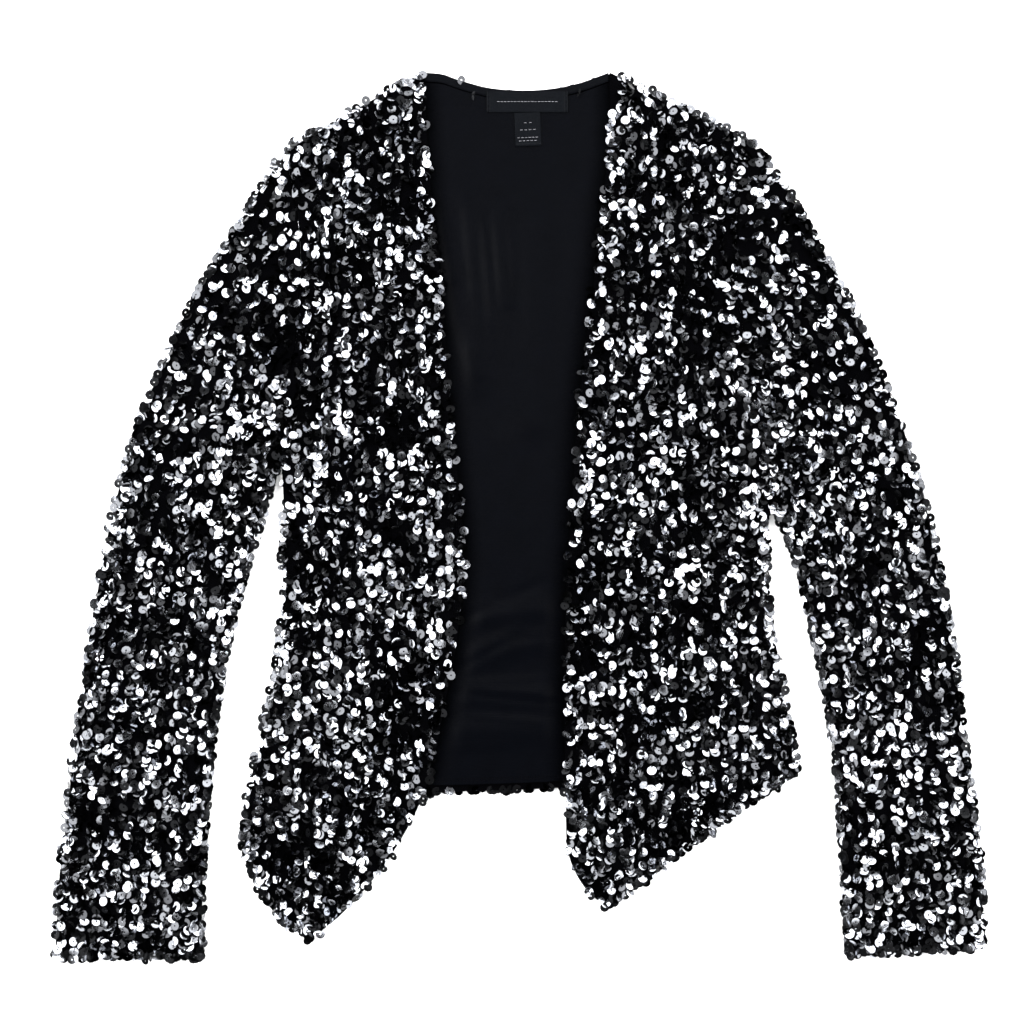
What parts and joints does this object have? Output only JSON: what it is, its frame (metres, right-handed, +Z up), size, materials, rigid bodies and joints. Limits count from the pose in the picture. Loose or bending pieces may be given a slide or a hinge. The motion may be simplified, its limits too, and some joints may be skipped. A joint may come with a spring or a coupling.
{
  "type": "sequin cardigan",
  "caption": "Open-front long-sleeved cardigan covered in round black sequins, with a plain jersey back lining, laid flat, its front hems dropping to points.",
  "frame": {"origin": "centre of the whole garment's box, on the surface that it lies on", "axes": "+Z up from the surface, +Y towards the neck, the wearer's right at -X"},
  "size_m": [0.7258, 0.69, 0.0095],
  "materials": {
    "sequin_cloth": "black knit covered in overlapping rows of round mirror-gloss black sequins",
    "lining": "smooth fine jersey with a faint sheen",
    "label": "tightly woven satin tape"
  },
  "bodies": {
    "root": {"back": "sequin_cloth", "back_lining": "lining", "neck_band": "lining", "front_right": "sequin_cloth", "front_left": "sequin_cloth", "sleeve_right": "sequin_cloth", "sleeve_left": "sequin_cloth", "neck_label": "label", "size_tab": "label"}
  },
  "joints": []
}
